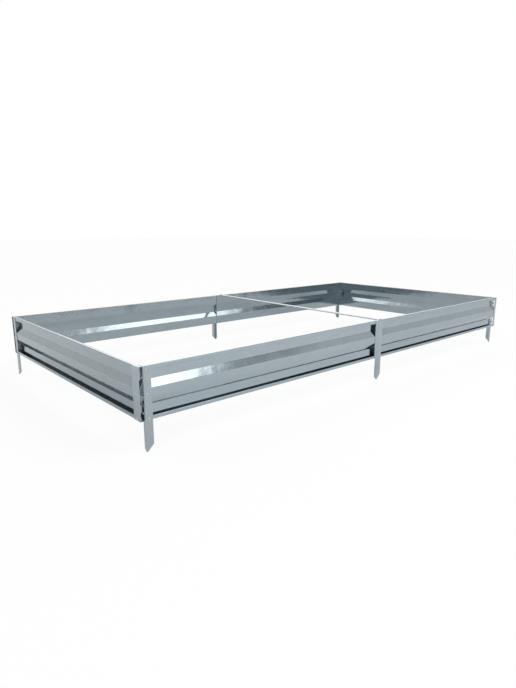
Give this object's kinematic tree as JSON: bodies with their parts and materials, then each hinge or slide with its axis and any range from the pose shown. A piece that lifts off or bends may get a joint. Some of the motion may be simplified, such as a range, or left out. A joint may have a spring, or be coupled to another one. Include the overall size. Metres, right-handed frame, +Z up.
{
  "type": "raised garden bed",
  "caption": "Low rectangular raised garden bed of ribbed galvanised steel boards on pointed angle stakes, with a cross tie at mid-length.",
  "frame": {"origin": "on the ground under the middle of the bed, level with the points of the stakes", "axes": "+X along the length of the bed, +Y across its width towards the back, +Z up"},
  "size_m": [2.0234, 1.021, 0.2368],
  "materials": {
    "sheet": "hot-dip galvanised sheet, semi-gloss",
    "stake": "hot-dip galvanised angle, satin",
    "trim": "hot-dip galvanised strip, semi-gloss",
    "tie": "galvanised channel, satin",
    "fastener": "bright zinc plated"
  },
  "bodies": {
    "root": {"front_left_board": "sheet", "front_right_board": "sheet", "right_board": "sheet", "back_right_board": "sheet", "back_left_board": "sheet", "left_board": "sheet", "front_left_stake": "stake", "front_middle_stake": "stake", "front_right_stake": "stake", "back_right_stake": "stake", "back_middle_stake": "stake", "back_left_stake": "stake", "front_left_strip": "trim", "front_right_strip": "trim", "back_right_strip": "trim", "back_left_strip": "trim", "front_joiner": "trim", "back_joiner": "trim", "front_left_backing": "trim", "front_right_backing": "trim", "back_right_backing": "trim", "back_left_backing": "trim", "cross_tie": "tie", "stake_screws": "fastener", "strip_screws": "fastener", "joiner_screws": "fastener", "corner_bolts": "fastener", "corner_nuts": "fastener", "joiner_bolts": "fastener", "joiner_nuts": "fastener", "tie_bolts": "fastener", "tie_nuts": "fastener"}
  },
  "joints": []
}
